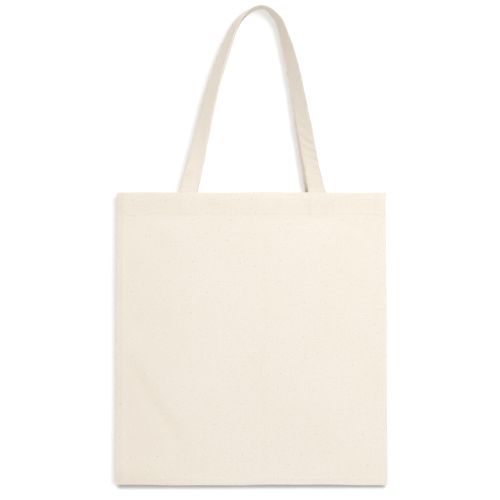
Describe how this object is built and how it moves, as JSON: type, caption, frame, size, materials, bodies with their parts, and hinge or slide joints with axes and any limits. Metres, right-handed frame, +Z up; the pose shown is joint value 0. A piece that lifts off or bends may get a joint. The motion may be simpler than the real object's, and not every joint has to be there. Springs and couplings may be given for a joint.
{
  "type": "tote bag",
  "caption": "Flat cotton canvas tote with two long stitched strap handles, a deep stitched top hem and seams turned inside; both handles fold down over the mouth.",
  "frame": {"origin": "the hang point: the underside of the handles straight above the middle of the bag", "axes": "+Z up towards the handles, +X to the right when facing the front, -Y the front face"},
  "size_m": [0.38, 0.0506, 0.6708],
  "materials": {
    "canvas": "undyed plain-weave cotton canvas, matt",
    "strap_cotton": "the same cotton folded to four layers, matt",
    "sewing_thread": "ecru sewing thread, slight sheen",
    "overlock_thread": "ecru overlock thread, soft"
  },
  "bodies": {
    "bag": {"back_hem": "canvas", "back_hem_stitching": "sewing_thread", "back_left_handle_end": "strap_cotton", "back_left_handle_tack_stitching": "sewing_thread", "back_panel": "canvas", "back_right_handle_end": "strap_cotton", "back_right_handle_tack_stitching": "sewing_thread", "bottom_overlock": "overlock_thread", "bottom_seam_allowance": "canvas", "bottom_seam_thread": "sewing_thread", "front_hem": "canvas", "front_hem_stitching": "sewing_thread", "front_left_handle_end": "strap_cotton", "front_left_handle_tack_stitching": "sewing_thread", "front_panel": "canvas", "front_right_handle_end": "strap_cotton", "front_right_handle_tack_stitching": "sewing_thread", "left_overlock": "overlock_thread", "left_seam_allowance": "canvas", "left_seam_thread": "sewing_thread", "right_overlock": "overlock_thread", "right_seam_allowance": "canvas", "right_seam_thread": "sewing_thread"},
    "front_handle_loop": {"front_handle": "strap_cotton", "front_handle_stitching": "sewing_thread"},
    "back_handle_loop": {"back_handle": "strap_cotton", "back_handle_stitching": "sewing_thread"}
  },
  "joints": [
    {"name": "front_handle_fold", "type": "hinge", "parent": "bag", "child": "front_handle_loop", "pos_m": [0, -0.00865, -0.254], "axis": [1, 0, 0], "range_deg": [0, 172]},
    {"name": "back_handle_fold", "type": "hinge", "parent": "bag", "child": "back_handle_loop", "pos_m": [0, 0.00876, -0.254], "axis": [-1, 0, 0], "range_deg": [0, 172]}
  ]
}
